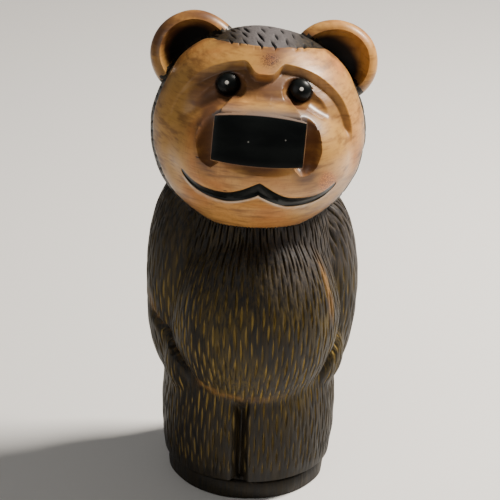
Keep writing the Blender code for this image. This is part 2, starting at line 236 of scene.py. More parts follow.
HEAD_LIFT, HEAD_BACK = 0.040, 0.004
HEAD_TILT, HEAD_ROLL, HEAD_TURN = radians(20), radians(3.9), radians(2)
SKULL = (0.1010, 0.0900, 0.0965)
FACE_EDGE, HAIRLINE_UP, EAR_WRAP = radians(75), 0.0785, radians(8)
EAR_SPREAD = radians(43.5)
FACE_STEP = 0.0012
RECESS_DEPTH, RECESS_SIDE_DEPTH = 0.008, 0.0042
BROW_HEIGHT, BROW_HALF_WIDTH, BROW_ROUNDNESS = 0.0635, 0.084, 2.4
BROW_DIP, BROW_DIP_WIDTH, BROW_DIP_OFFSET = 0.0122, 0.0130, -0.0014
BROW_WALL = 0.0040
RECESS_FOOT = -0.004
MUZZLE = ((0.002, -0.034, -0.016), (0.084, 0.070, 0.057))
NOSE_OFFSET, NOSE_HALF_WIDTH, NOSE_TOP, NOSE_BOTTOM = -0.0022, 0.0413, 0.0125, -0.0275
NOSE_PROUD, NOSE_SLOPE = 0.004, radians(24)
BRIDGE_HALF_WIDTH, BRIDGE_SIDE, BRIDGE_BACK = 0.044, 0.006, 0.004
HOLLOW_RADII, HOLLOW_GAP, HOLLOW_OUT = (0.0145, 0.012, 0.027), 0.0015, 0.013
EYE_SPACING, EYE_HEIGHT, EYE_RADIUS, EYE_BULGE, EYE_SINK = 0.065, 0.040, 0.0104, 0.65, 0.0056
SOCKET_RADIUS, SOCKET_DEPTH = 0.0165, 0.009
TAIL_RADII, TAIL_DEPTH, TAIL_REACH, TAIL_DROP, TAIL_TURN = (0.024, 0.012, 0.0095), 0.0022, 0.016, 0.009, radians(30)
HEAD_COLUMNS, HEAD_ROWS, CROWN_ROWS = 76, 11, 3
HEAD_SHARES = np.array([0, 0.12, 0.26, 0.74, 0.88])
INNER_RINGS, WALL_RINGS, OUTER_RINGS = 72, 11, 12
FACE_RINGS = INNER_RINGS + WALL_RINGS + OUTER_RINGS

head_place = (
    Matrix.Translation((0, HEAD_BACK, BODY_TOP + HEAD_LIFT))
    @ Matrix.Rotation(HEAD_TURN, 4, "Z")
    @ Matrix.Rotation(-HEAD_TILT, 4, "X")
    @ Matrix.Rotation(HEAD_ROLL, 4, "Y")
)
muzzle_front = MUZZLE[1][1] - MUZZLE[0][1]
recess_radii = (SKULL[0] - RECESS_SIDE_DEPTH, SKULL[1] - RECESS_DEPTH, SKULL[2] - RECESS_DEPTH)


def face_edge(around):
    """Angle from the face's axis to the fur: level across under the hair, and further back at the ears."""
    at_ear = np.exp(-(((np.abs(around) - EAR_SPREAD) / radians(14)) ** 4))
    level = np.arcsin(np.clip(HAIRLINE_UP / SKULL[2] / np.clip(np.cos(around), 0.3, 1), 0, 1))
    return soft_min(FACE_EDGE + EAR_WRAP * at_ear, level, radians(4))


def skin_out(across, up, radii):
    return radii[1] * np.sqrt(np.clip(1 - (across / radii[0]) ** 2 - (up / radii[2]) ** 2, 0, 1))


def brow_line(across):
    share = np.clip(np.abs(across) / BROW_HALF_WIDTH, 0, 1)
    arch = BROW_HEIGHT * np.sqrt(np.clip(1 - share**BROW_ROUNDNESS, 0, 1))
    return arch - BROW_DIP * np.exp(-(((across - BROW_DIP_OFFSET) / BROW_DIP_WIDTH) ** 4))


def inside_brow(across, up):
    """How far inside the brow's edge a place on the face is, in metres."""
    step = 1e-4
    slope = (brow_line(across + step) - brow_line(across - step)) / (2 * step)
    under = (brow_line(across) - up) / np.sqrt(1 + slope * slope)
    return np.minimum(under, BROW_HALF_WIDTH - np.abs(across))


def eye_middle(side, out):
    return (side * EYE_SPACING / 2, -out, EYE_HEIGHT)


def in_face_plane(points, turn):
    """The points turned about the axis that comes out of the face."""
    across, out, up = np.moveaxis(np.asarray(points), -1, 0)
    return np.stack([across * cos(turn) + up * sin(turn), out, up * cos(turn) - across * sin(turn)], -1)


def flat(rays, normal, place):
    """Where each ray meets the flat through the place. A ray that runs away from it is endless."""
    facing = rays @ np.array(normal)
    return np.where(facing > 1e-3, np.dot(normal, place) / np.maximum(facing, 1e-3), 1.0)


eye_floor = float(skin_out(EYE_SPACING / 2, EYE_HEIGHT, recess_radii))


def head_form(rays):
    """(distance to the carved skin, distance to the plain ball) along rays from the head's middle."""
    start = np.zeros(3)
    skull = crossing(start, rays, ((0, 0, 0), SKULL))
    floor = crossing(start, rays, ((0, 0, 0), recess_radii))
    spot = rays * skull[:, None]
    recess = smooth_step(inside_brow(spot[:, 0], spot[:, 2]) / BROW_WALL) * (rays[:, 1] < 0)
    recess = (1 - (1 - recess) ** 1.6) * smooth_step((spot[:, 2] - RECESS_FOOT) / 0.016)
    recess = recess * (1 - 0.8 * smooth_step((-spot[:, 0] - 0.058) / 0.018))
    skin = skull - (skull - floor) * recess
    skin = soft_max(skin, crossing(start, rays, MUZZLE), 0.0035)
    for side in (-1, 1):
        socket = (eye_middle(side, eye_floor + SOCKET_RADIUS - SOCKET_DEPTH), (SOCKET_RADIUS,) * 3)
        skin = soft_min(skin, crossing(start, rays, socket, far=False), 0.002)
        across, up = side * (EYE_SPACING / 2 + TAIL_REACH), EYE_HEIGHT - TAIL_DROP
        out = float(skin_out(across, up, recess_radii)) + TAIL_RADII[1] - TAIL_DEPTH
        turn = -side * TAIL_TURN
        tail = (in_face_plane((across, -out, up), turn), TAIL_RADII)
        skin = soft_min(skin, crossing(start, in_face_plane(rays, turn), tail, far=False), 0.008)
        beside = NOSE_OFFSET + side * (NOSE_HALF_WIDTH + HOLLOW_GAP)
        hollow = ((beside, HOLLOW_OUT - muzzle_front, (NOSE_TOP + NOSE_BOTTOM) / 2), HOLLOW_RADII)
        skin = soft_min(skin, crossing(start, rays, hollow, far=False), 0.0065)
    under_nose = ((NOSE_OFFSET, -muzzle_front - 0.002, NOSE_BOTTOM - 0.004), (0.056, 0.009, 0.009))
    skin = soft_min(skin, crossing(start, rays, under_nose, far=False), 0.005)
    ridge = (NOSE_OFFSET, -muzzle_front - NOSE_PROUD, NOSE_TOP + 0.0016)
    bridge = flat(rays, (0, -sin(NOSE_SLOPE), cos(NOSE_SLOPE)), ridge)
    bridge = soft_min(bridge, flat(rays, (0, -1, 0), (0, BRIDGE_BACK - muzzle_front, 0)), 0.004)
    bridge = np.where(rays[:, 1] < -0.3, bridge, 0)
    in_front = rays / np.clip(-rays[:, 1:2], 0.3, 1) * (muzzle_front + NOSE_PROUD)
    within = smooth_step((BRIDGE_HALF_WIDTH - np.abs(in_front[:, 0] - NOSE_OFFSET)) / BRIDGE_SIDE)
    within *= smooth_step((in_front[:, 2] - NOSE_BOTTOM - 0.004) / 0.010)
    return skin + (soft_max(skin, bridge, 0.005) - skin) * within, skull


def ball_rays(around, bend):
    return np.stack([-np.sin(bend) * np.sin(around), -np.cos(bend), np.sin(bend) * np.cos(around)], -1)


clock = np.radians(np.arange(-180, 181))
tries = np.radians(np.linspace(25, 72, 500))
rays = ball_rays(*np.meshgrid(np.clip(clock, -pi / 2, pi / 2), tries, indexing="ij"))
spot = rays * crossing(np.zeros(3), rays, ((0, 0, 0), SKULL))[..., None]
brow_bend = tries[(inside_brow(spot[..., 0], spot[..., 2]) > 0).cumsum(1).argmax(1)]
brow_bend += (radians(48) - brow_bend) * smooth_step((np.abs(clock) - pi / 2) / radians(30))


bm = bmesh.new()
mesh_columns = HEAD_COLUMNS * len(HEAD_SHARES)
fur_rings = (HEAD_ROWS + CROWN_ROWS) * CUTS_IN_ROW
rings = FACE_RINGS + fur_rings
bmesh.ops.create_uvsphere(bm, u_segments=mesh_columns // 2, v_segments=rings, radius=1)
half_height = cos(pi * (INNER_RINGS - 1.5) / rings)
level = [
    e for e in bm.edges if abs(e.verts[0].co.z - e.verts[1].co.z) < 1e-6 and e.verts[0].co.z < half_height
]
bmesh.ops.subdivide_edges(bm, edges=level, cuts=1, use_grid_fill=True)
co = np.array([v.co for v in bm.verts])
ring = np.round(np.arccos(np.clip(co[:, 2], -1, 1)) / pi * rings).astype(int)
around = np.arctan2(co[:, 1], co[:, 0])
index = np.round(around / (2 * pi) * mesh_columns).astype(int) % mesh_columns
on_face = smooth_step((FACE_RINGS - ring - 2) / 12)
column = lattice_place(index, HEAD_SHARES) * (1 - on_face) + index / len(HEAD_SHARES) * on_face
around = (column / HEAD_COLUMNS * 2 * pi + pi) % (2 * pi) - pi
crest = np.interp(around, clock, brow_bend) + 0.009
foot = crest - 0.062
row = (ring - FACE_RINGS) / CUTS_IN_ROW
edge = face_edge(around)
step = (pi - edge) / (HEAD_ROWS + CROWN_ROWS)
bend = np.where(row > 0, edge + step * row, crest + (edge - crest) * (row * CUTS_IN_ROW / OUTER_RINGS + 1))
on_wall = (ring - INNER_RINGS) / WALL_RINGS
bend = np.where(on_wall < 1, foot + (crest - foot) * on_wall, bend)
bend = np.where(on_wall < 0, foot * ring / INNER_RINGS, bend)
back = np.clip(bend - edge, 0, None)
slant = 0.5 * np.exp(-((around / radians(35)) ** 2)) * np.exp(-((back / radians(50)) ** 2))
spot = np.stack([np.sin(bend) * np.sin(around), np.cos(bend), np.sin(bend) * np.cos(around)], -1) * 0.09
drift = 0.03 * wander(spot, 0.09, 23) + 0.012 * wander(spot, 0.04, 24)
around = around + slant * back + drift * smooth_step((ring / FACE_RINGS - 0.9) / 0.15)
rays = ball_rays(around, bend)
skin, _ = head_form(rays)
spread = np.clip(np.sin(bend), 0.05, 1)
hair_and_sheen = np.exp(-((around / radians(38)) ** 4)) * smooth_step((radians(125) - bend) / radians(20))
lines = stroke_depth(column, row - STROKE_FOOT, 1, HEAD_COLUMNS, 31, 0.32 - 0.10 * hair_and_sheen, 0.90 - 0.22 * hair_and_sheen)
first_row = np.where(np.abs(around) < radians(27), -0.6, 0.25)
lines *= smooth_step((row - first_row) / 0.3) * smooth_step((14.2 - row) / 2) * np.clip(1.6 * spread, 0, 1)
skin = skin - STROKE_DEPTH * lines - FACE_STEP * smooth_step(row / 0.35)
skin = skin + 0.0003 * wander(rays * 0.09, 0.028, 25)
for v, ray, r in zip(bm.verts, rays, skin):
    v.co = Vector(ray) * r


def head_piece(name, bm, slot=None):
    """The shape as an object in its place on the head, in triangles, with its faces outwards and painted."""
    bm.normal_update()
    bmesh.ops.recalc_face_normals(bm, faces=bm.faces)
    bmesh.ops.triangulate(bm, faces=bm.faces)
    mesh = bpy.data.meshes.new(name)
    bm.to_mesh(mesh)
    bm.free()
    mesh.transform(head_place)
    made = bpy.data.objects.new(name, mesh)
    paint(made, slot)
    bpy.context.scene.collection.objects.link(made)
    return made


head = head_piece("head_ball", bm, FACE)

# ---------------------------------------------------------------- eyes
# Two flattened balls left standing in their sockets, painted gloss black, each with a small dot of white paint.

eyes = []
for side in (-1, 1):
    flattened = Matrix.Diagonal((1, EYE_BULGE, 1, 1)) @ Matrix.Rotation(pi / 2, 4, "X")
    place = Matrix.Translation(eye_middle(side, eye_floor - EYE_SINK)) @ flattened
    bm = bmesh.new()
    bmesh.ops.create_uvsphere(bm, u_segments=44, v_segments=22, radius=EYE_RADIUS, matrix=place)
    eyes.append(head_piece(f"eye_ball_{side}", bm, BLACK))

# ---------------------------------------------------------------- nose
# A flat panel cut square across the muzzle. Its face leans back at the foot and its top slopes up to the
# brow. It is painted gloss black to its sharp edges.

NOSE_ARCH, NOSE_DEPTH, NOSE_TOP_RISE, NOSE_BACK_SHARE = 0.003, 0.045, 0.0085, 0.50
NOSE_LEAN, NOSE_ARRIS = 0.003, 0.0006
bm = bmesh.new()
bmesh.ops.create_cube(bm, size=2)
for axis, cuts in ((0, 11), (2, 5)):
    across_axis = [e for e in bm.edges if abs(e.verts[0].co[axis] - e.verts[1].co[axis]) > 1]
    bmesh.ops.subdivide_edges(bm, edges=across_axis, cuts=cuts, use_grid_fill=True)
outline = [e for e in bm.edges if len(e.link_faces) == 2 and e.calc_face_angle() > 1]
for v in bm.verts:
    x, y, z = v.co
    arch = NOSE_ARCH * (1 - x * x)
    top = NOSE_TOP + arch + (NOSE_TOP_RISE + 0.004 * (1 - x * x)) * (y > 0)
    up = NOSE_BOTTOM - arch + (top - NOSE_BOTTOM + arch) * (z + 1) / 2
    out = muzzle_front + NOSE_PROUD - NOSE_DEPTH * (y > 0) - NOSE_LEAN * (1 - z) / 2
    half_width = NOSE_HALF_WIDTH * (NOSE_BACK_SHARE if y > 0 else 1)
    v.co = (NOSE_OFFSET + x * half_width, -out, up)
bmesh.ops.bevel(
    bm, geom=outline, offset=NOSE_ARRIS, affect="EDGES", segments=2, profile=0.5, material=-1
)
bm.normal_update()
for f in bm.faces:
    f.material_index = BLACK if f.normal.y < -0.95 else FACE
nose = head_piece("nose_panel", bm)

# ---------------------------------------------------------------- mouth
# A smile cut with a gouge, deepest under the nose and running out at both corners. The cut is painted gloss
# black and its edges are eased with a knife, which leaves a thin line of bare wood.

MOUTH_OFFSET, MOUTH_HALF_WIDTH, MOUTH_PEAK = 0.0025, 0.070, -0.0505
MOUTH_SAG, MOUTH_SAG_END, MOUTH_LIFT, MOUTH_CURL = 0.0103, 0.45, 0.0208, 4.5
MOUTH_GAUGE, MOUTH_TIP, MOUTH_TAPER = 0.0055, 0.10, 0.6
MOUTH_SECTIONS, MOUTH_ARRIS, MOUTH_CLEAR = 64, 0.0006, 0.006


def mouth_up(share):
    sag = MOUTH_SAG * np.sin(np.clip(share / MOUTH_SAG_END, 0, 1) * pi / 2)
    return MOUTH_PEAK - sag + MOUTH_LIFT * share**MOUTH_CURL


def face_out(across, up):
    """How far the skin of the lower face stands out at a place on it."""
    (x, y, z), radii = MUZZLE
    return soft_max(skin_out(across, up, SKULL), skin_out(across - x, up - z, radii) - y, 0.0035)


bm = bmesh.new()
sideways = Matrix.Rotation(pi / 2, 4, "Y")
bmesh.ops.create_cone(
    bm, cap_ends=True, segments=8, radius1=1, radius2=1, depth=2, matrix=sideways
)
upright = [e for e in bm.edges if abs(e.verts[0].co.x - e.verts[1].co.x) > 1]
bmesh.ops.subdivide_edges(bm, edges=upright, cuts=MOUTH_SECTIONS - 1, use_grid_fill=True)
corners = {}
for v in bm.verts:
    x, y, z = v.co
    share = min(abs(x), 1)
    corner = round((np.arctan2(z, y) + pi) / (2 * pi) * 8) % 8
    slope = (mouth_up(share + 0.005) - mouth_up(max(share - 0.005, 0))) / (0.01 * MOUTH_HALF_WIDTH)
    half = MOUTH_GAUGE * (MOUTH_TIP + (1 - MOUTH_TIP) * (1 - share) ** MOUTH_TAPER)
    tall = half * np.sqrt(1 + slope * slope)
    across = MOUTH_OFFSET + x * MOUTH_HALF_WIDTH
    middle = mouth_up(share)
    rise = (1, 1, 1, 0.45, -0.45, -1, -1, -1)[corner]
    ease = (1, 1, 0, 0, 0, 0, 1, 1)[corner] * MOUTH_ARRIS
    up = middle + rise * tall + (ease if rise > 0 else -ease)
    sink = (-MOUTH_CLEAR, 0, MOUTH_ARRIS, half, half, MOUTH_ARRIS, 0, -MOUTH_CLEAR)[corner]
    v.co = (across, -float(face_out(across, up)) + sink, up)
    corners[v] = corner
eased = [len({corners[v] for v in f.verts} - {1, 2}) == 0 or len({corners[v] for v in f.verts} - {5, 6}) == 0 for f in bm.faces]
for f, bare in zip(bm.faces, eased):
    f.material_index = FACE if bare else BLACK
mouth = head_piece("mouth_gouge", bm)

# ---------------------------------------------------------------- ears
# Thick round ears left standing at the head's upper corners and scooped out from the front. Their rims are
# rounded over and varnished, and the hollow is sprayed black towards its middle.

EAR_MIDDLES = {-1: (-0.0655, 0, 0.0640), 1: (0.0660, 0, 0.0685)}
EAR_SIZES = {-1: 1.09, 1: 1.05}
EAR_RADIUS, EAR_HALF_DEPTH, EAR_BACK, EAR_SQUARENESS = 0.0365, 0.019, 0.0045, 4.2
EAR_REACH = 0.12
CUP_RADIUS, CUP_HALF_DEPTH, CUP_SHIFT = 0.0285, 0.022, 0.0018
EAR_COLUMNS, EAR_RINGS = 84, 40
RIM_ROUNDING = 0.0010


fine = np.linspace(0, 1, 600)
cup_out = EAR_HALF_DEPTH - EAR_BACK
rim_turn = fine * pi / 2
cup_line = np.stack([CUP_RADIUS * np.sin(rim_turn), cup_out - CUP_HALF_DEPTH * np.cos(rim_turn)], -1)
level, deep = np.sin(fine * pi), np.cos(fine * pi)
level, deep = (np.sign(v) * np.abs(v) ** (2 / EAR_SQUARENESS) for v in (level, deep))
ear_line = np.stack([EAR_RADIUS * level, -EAR_BACK + EAR_HALF_DEPTH * deep], -1)
off_middle = np.abs(cup_line + (0, EAR_BACK)) / (EAR_RADIUS, EAR_HALF_DEPTH)
inside_ear = (off_middle**EAR_SQUARENESS).sum(-1) < 1
outside_cup = (ear_line[:, 0] / CUP_RADIUS) ** 2 + ((ear_line[:, 1] - cup_out) / CUP_HALF_DEPTH) ** 2 > 1
profile = np.concatenate([cup_line[inside_ear], ear_line[outside_cup]])
length = np.concatenate([[0], np.cumsum(np.linalg.norm(np.diff(profile, axis=0), axis=1))])
even = np.linspace(0, length[-1], 800)
profile = np.stack([np.interp(even, length, profile[:, i]) for i in (0, 1)], -1)
rim_length = length[inside_ear.sum()]
kernel = np.exp(-((np.arange(-30, 31) * even[1] / RIM_ROUNDING) ** 2))
padded = np.concatenate([profile[30:0:-1] * (-1, 1), profile, profile[-2:-32:-1] * (-1, 1)])
profile = np.stack([np.convolve(padded[:, i], kernel / kernel.sum(), "valid") for i in (0, 1)], -1)
ears = []
for side in (-1, 1):
    bm = bmesh.new()
    bmesh.ops.create_uvsphere(bm, u_segments=EAR_COLUMNS, v_segments=EAR_RINGS, radius=1)
    middle = EAR_MIDDLES[side]
    for v in bm.verts:
        x, y, z = v.co
        along = np.arccos(np.clip(z, -1, 1)) / pi * length[-1]
        rho, out = (float(np.interp(along, even, profile[:, i])) * EAR_SIZES[side] for i in (0, 1))
        shift = -side * CUP_SHIFT * float(smooth_step((rim_length - along) / 0.006))
        level = Vector((x, y)).normalized() if 0 < along < length[-1] else Vector((0, 0))
        reach = 1 + EAR_REACH * (level.x * side < 0)
        v.co = (middle[0] + shift + rho * level.x * reach, -out, middle[2] + rho * level.y)
    co = np.array([v.co for v in bm.verts])
    shift = 0.0005 * wander(co, 0.035, 41 + side)
    for v, push in zip(bm.verts, shift):
        v.co += (v.co - Vector(middle)).normalized() * push
    ears.append(head_piece(f"ear_{side}", bm, FACE))

# ---------------------------------------------------------------- the carving, as one piece
# Head, eyes, nose, ears and body are one piece of wood, so the shapes are joined and the mouth is cut.

for other, operation in (
    *((made, "UNION") for made in eyes),
    (nose, "UNION"),
    (mouth, "DIFFERENCE"),
    *((made, "UNION") for made in ears),
    (bear, "UNION"),
):
    modifier = head.modifiers.new(other.name, "BOOLEAN")
    modifier.object = other
    modifier.operation = operation
    modifier.solver = "MANIFOLD"
bpy.context.view_layer.update()
joined = bpy.data.meshes.new_from_object(head.evaluated_get(bpy.context.evaluated_depsgraph_get()))
for made in (head, nose, mouth, *eyes, *ears):
    bpy.data.objects.remove(made)
bear.data = joined
joined.name = "bear_carving"

co = np.zeros(len(joined.vertices) * 3)
joined.vertices.foreach_get("co", co)
co = co.reshape(-1, 3)
from_axis, around_axis = np.hypot(co[:, 0], co[:, 1]), np.arctan2(co[:, 0], -co[:, 1])
smooth, crease, rim = body_forms(around_axis, co[:, 2])
level_spot = smooth[:, None] * level_rays(around_axis)
level_spot[:, 2] = co[:, 2]
body_cut = (smooth + 0.0004 * wander(level_spot, 0.022, 5) - from_axis) / STROKE_DEPTH
to_head = np.array(head_place.inverted())
on_head = co @ to_head[:3, :3].T + to_head[:3, 3]
from_middle = np.linalg.norm(on_head, axis=1)
rays = on_head / from_middle[:, None]
skin, skull = head_form(rays)
bend = np.arccos(np.clip(-rays[:, 1], -1, 1))
around = np.arctan2(-rays[:, 0], rays[:, 2])
past_edge = (bend - face_edge(around)) * SKULL[1]
head_cut = (skin - FACE_STEP - from_middle) / STROKE_DEPTH * smooth_step((past_edge + 0.012) / 0.008)
head_gap, body_gap = np.abs(from_middle - skin), np.abs(from_axis - smooth)
is_body = (body_gap < head_gap) & (co[:, 2] < BODY_TOP)
cut = np.clip(np.where(is_body, body_cut * (co[:, 2] > fur_foot), head_cut), 0, 1)

stain_and_shade = np.zeros(len(co))
sprayed_black_and_shade = np.zeros(len(co))
# A dark red-brown ring with a tail round each eye, and black round the ball in its socket: partly stain and paint,
# partly painted shade in the socket.
for side in (-1, 1):
    u, _, w = np.moveaxis(on_head - eye_middle(side, 0), -1, 0)
    tail = np.clip(side * u / 0.026, 0, 1)
    ring_gap = np.hypot(u - side * 0.026 * tail, w + 0.014 * tail) / (0.019 - 0.009 * tail)
    stain_and_shade = np.maximum(stain_and_shade, smooth_step(1.55 - ring_gap) * (1 - 0.2 * tail))
    ring = smooth_step((0.0138 - np.hypot(u, w)) / 0.0028)
    sprayed_black_and_shade = np.maximum(sprayed_black_and_shade, 0.62 * ring * (rays[:, 1] < 0))
    beside = NOSE_OFFSET + side * (NOSE_HALF_WIDTH + HOLLOW_GAP * 1.5)
    gap = np.hypot((on_head[:, 0] - beside) / 0.012, (on_head[:, 2] + 0.0095) / 0.030)
    stain_and_shade = np.maximum(stain_and_shade, smooth_step(1.6 - gap) * (rays[:, 1] < 0))
    middle, size = EAR_MIDDLES[side], EAR_SIZES[side]
    off_ear = on_head[:, 0] - middle[0]
    off_ear = off_ear / (1 + EAR_REACH * (off_ear * side < 0))
    rho = np.hypot(off_ear, on_head[:, 2] - middle[2]) / size
    is_ear = (rho < EAR_RADIUS + 0.002) & (from_middle > skin + 0.0006) & (on_head[:, 1] > -0.02)
    out = -on_head[:, 1] / size
    past_edge = np.where(is_ear, -0.010 - out, past_edge)
    cut = np.where(is_ear, 0, cut)
    shifted = np.hypot(off_ear + side * CUP_SHIFT, on_head[:, 2] - middle[2]) / size
    hollow = 1 - np.hypot(shifted / CUP_RADIUS, np.clip(cup_out - out, 0, 1) / CUP_HALF_DEPTH)
    deep = np.clip((cup_out - 0.006 - out) / 0.012, 0, 1)
    in_cup = is_ear & (np.abs(hollow) < 0.08)
    off_skin = (from_middle - skin) / 0.020
    # The hollow is sprayed black towards its middle. Painted light: on the right ear that black is let off away from
    # the head.
    if side > 0:
        deep = deep * np.clip(1.15 - 0.75 * off_skin, 0.35, 1)
    sprayed_black_and_shade = np.where(in_cup, np.maximum(deep, sprayed_black_and_shade), sprayed_black_and_shade)
    # painted shade: the left ear's hollow gets more red-brown than the right one's
    stain_and_shade = np.where(in_cup, np.maximum(stain_and_shade, 0.45 - 0.15 * side + 0.3 * smooth_step(2 * deep)), stain_and_shade)
    # painted shade: the left ear's rim is darkened heavily, the right one's only a little
    stain_and_shade = np.where(is_ear & ~in_cup, np.maximum(stain_and_shade, 0.80 if side < 0 else 0.15), stain_and_shade)
    # painted shade: each ear's foot is darkened where it meets the head
    foot = is_ear & (out > -0.012)
    stain_and_shade = np.where(foot, np.maximum(stain_and_shade, smooth_step(1 - (from_middle - skin) / 0.012) * 0.8), stain_and_shade)
# painted shadow: a darker red-brown band under the nose panel, where its shadow falls
gap = np.hypot((on_head[:, 0] - NOSE_OFFSET) / 0.047, (on_head[:, 2] - NOSE_BOTTOM - 0.002) / 0.013)
stain_and_shade = np.maximum(stain_and_shade, 0.9 * smooth_step(1.3 - gap))
# Black paint misted over the nose's top; its grey is a painted reflection.
above = on_head[:, 2] - NOSE_TOP - NOSE_ARCH * (1 - ((on_head[:, 0] - NOSE_OFFSET) / NOSE_HALF_WIDTH) ** 2)
over_nose = (np.abs(on_head[:, 0] - NOSE_OFFSET) < NOSE_HALF_WIDTH + 0.001) & (on_head[:, 1] < -0.08) & (above > -0.0015)
mist_and_reflection = over_nose * smooth_step(1.15 - above / 0.0105)
stain_and_shade = np.maximum(stain_and_shade, 0.7 * smooth_step(1 + past_edge / 0.020) * (past_edge < 0))
# painted shade: the recess under the brow is darkened with the red-brown in step with its depth
stain_and_shade = np.maximum(stain_and_shade, 0.88 * np.clip((skull - skin) / RECESS_DEPTH, 0, 1) * (rays[:, 1] < 0))
scorch = np.exp(-(((on_head[:, 0] - 0.0025) / 0.0125) ** 2 + ((on_head[:, 2] - 0.0640) / 0.0078) ** 2))
gold = smooth_step((0.262 - co[:, 2]) / 0.085) * (0.5 + 0.5 * smooth_step((co[:, 2] - 0.075) / 0.03))
gold = (0.10 + 0.90 * gold * (0.35 + 0.65 * smooth_step(np.cos(around_axis) * 2))) * is_body
edge = np.exp(-(((rim - 0.0035) / 0.0020) ** 2)) * smooth_step((0.20 - co[:, 2]) / 0.02)
streak = np.exp(-(((around_axis - radians(52)) / radians(2.6)) ** 2)) * np.exp(-(((co[:, 2] - 0.215) / 0.028) ** 4))
edge = edge * smooth_step(1.1 - 2 * np.sin(around_axis)) * smooth_step(3 * np.cos(around_axis))
rub = np.maximum(edge * (0.6 + 0.4 * smooth_step(-3 * np.sin(around_axis))), streak) * is_body
# painted sheen: the black over the crown and, on the body, the upper right shoulder is greyed as if lit
hair_and_sheen = np.exp(-((around / radians(18)) ** 4)) * smooth_step((radians(125) - bend) / radians(20)) * ~is_body
hair_and_sheen = np.maximum(hair_and_sheen, 0.3 * is_body * smooth_step((co[:, 2] - 0.20) / 0.04) * smooth_step(2 * np.sin(around_axis)))
# painted highlight: a pale line along the eased lower edge of the mouth, where light catches it
lip_share = np.abs(on_head[:, 0] - MOUTH_OFFSET) / MOUTH_HALF_WIDTH
lip_height = MOUTH_GAUGE * (MOUTH_TIP + (1 - MOUTH_TIP) * (1 - np.clip(lip_share, 0, 1)) ** MOUTH_TAPER)
under_lip = mouth_up(np.clip(lip_share, 0, 1)) - lip_height - MOUTH_ARRIS - on_head[:, 2]
lip_highlight = np.exp(-(((under_lip - 0.0006) / 0.0013) ** 2)) * (lip_share < 0.96) * (rays[:, 1] < -0.3) * ~is_body
bare = np.exp(-(((on_head[:, 0] - 0.0640) / 0.008) ** 2 + ((on_head[:, 2] + 0.0400) / 0.010) ** 2)) * (rays[:, 1] < 0)
for name, values in (
    ("cut", cut),
    ("past_edge", past_edge * 100),
    ("stain_and_shade", stain_and_shade),
    ("sprayed_black_and_shade", sprayed_black_and_shade),
    ("mist_and_reflection", mist_and_reflection),
    ("scorch", scorch),
    ("gold", gold),
    ("rub", rub),
    ("hair_and_sheen", hair_and_sheen),
    ("lip_highlight", lip_highlight),
    ("bare", bare),
):
    layer = joined.attributes.new(name, "FLOAT", "POINT")
    layer.data.foreach_set("value", values.astype(np.float32))
starts, slot_of = np.zeros((2, len(joined.polygons)), int)
corners = np.zeros(len(joined.loops), int)
joined.polygons.foreach_get("loop_start", starts)
joined.polygons.foreach_get("material_index", slot_of)
joined.loops.foreach_get("vertex_index", corners)
slot_of[(slot_of == FACE) & (past_edge[corners[starts]] > 0.004)] = FUR
joined.polygons.foreach_set("material_index", slot_of)
joined.polygons.foreach_set("use_smooth", np.ones(len(joined.polygons), bool))
joined.set_sharp_from_angle(angle=radians(40))
sharp = np.zeros(len(joined.edges), bool)
joined.attributes["sharp_edge"].data.foreach_get("value", sharp)
ends = np.zeros(len(joined.edges) * 2, int)
joined.edges.foreach_get("vertices", ends)
in_fur = (cut[ends.reshape(-1, 2)].max(1) > 0.05) & ((past_edge > -0.012) | is_body)[ends.reshape(-1, 2)].all(1)
joined.attributes["sharp_edge"].data.foreach_set("value", sharp & ~in_fur)

# ---------------------------------------------------------------- finish
# Wood stained and varnished. The stain is black-brown on the fur, where the gouge went through it the gold of
# the wood shows, and the face is clear varnish over honey-coloured wood with red-brown stain in the hollows beside
# the nose and in the ears. The same red-brown is laid on as painted shade in the recess under the brow, under the
# nose, at the ears' feet and over the left ear, and partly as painted shade round the eyes. The black is greyed as
# a painted sheen on the crown and the right shoulder, with a painted highlight under the mouth and a painted
# reflection on the nose's top.


def add(tree, kind, links=(), values=(), **settings):
    """A node with its settings, its fixed inputs and what feeds its other inputs."""
    made = tree.nodes.new("ShaderNode" + kind)
    for name, value in settings.items():
        setattr(made, name, value)
    for name, value in dict(values).items():
        made.inputs[name].default_value = value
    for name, source in dict(links).items():
        tree.links.new(source, made.inputs[name])
    return made


def sum_up(tree, operation, *terms):
    """A Math node over sockets and plain numbers."""
    made = tree.nodes.new("ShaderNodeMath")
    made.operation = operation
    for i, term in enumerate(terms):
        if isinstance(term, (int, float)):
            made.inputs[i].default_value = term
        else:
            tree.links.new(term, made.inputs[i])
    return made.outputs[0]


def fade(tree, value, low, high, to_low=0.0, to_high=1.0):
    """A smooth step of the value from low to high."""
    made = add(tree, "MapRange", {"Value": value}, interpolation_type="SMOOTHSTEP")
    for name, number in (("From Min", low), ("From Max", high), ("To Min", to_low), ("To Max", to_high)):
        made.inputs[name].default_value = number
    return made.outputs["Result"]


def blend(tree, share, a, b):
    """A mix of two colours, each a socket or three numbers."""
    made = tree.nodes.new("ShaderNodeMix")
    made.data_type = "RGBA"
    for spot, term in ((0, share), (6, a), (7, b)):
        if isinstance(term, (int, float)):
            made.inputs[spot].default_value = term
        elif isinstance(term, tuple):
            made.inputs[spot].default_value = (*term, 1)
        else:
            tree.links.new(term, made.inputs[spot])
    return made.outputs[2]


def attribute(tree, name):
    return add(tree, "Attribute", attribute_name=name).outputs["Fac"]


def stretched_noise(tree, stretch, scale, detail=3.0, roughness=0.55):
    """Noise on the piece's own coordinates, drawn out along the axes whose stretch is under 1."""
    place = add(tree, "TexCoord").outputs["Object"]
    mapped = add(tree, "Mapping", {"Vector": place}, {"Scale": stretch}).outputs[0]
    values = {"Scale": scale, "Detail": detail, "Roughness": roughness}
    return add(tree, "TexNoise", {"Vector": mapped}, values).outputs["Fac"]


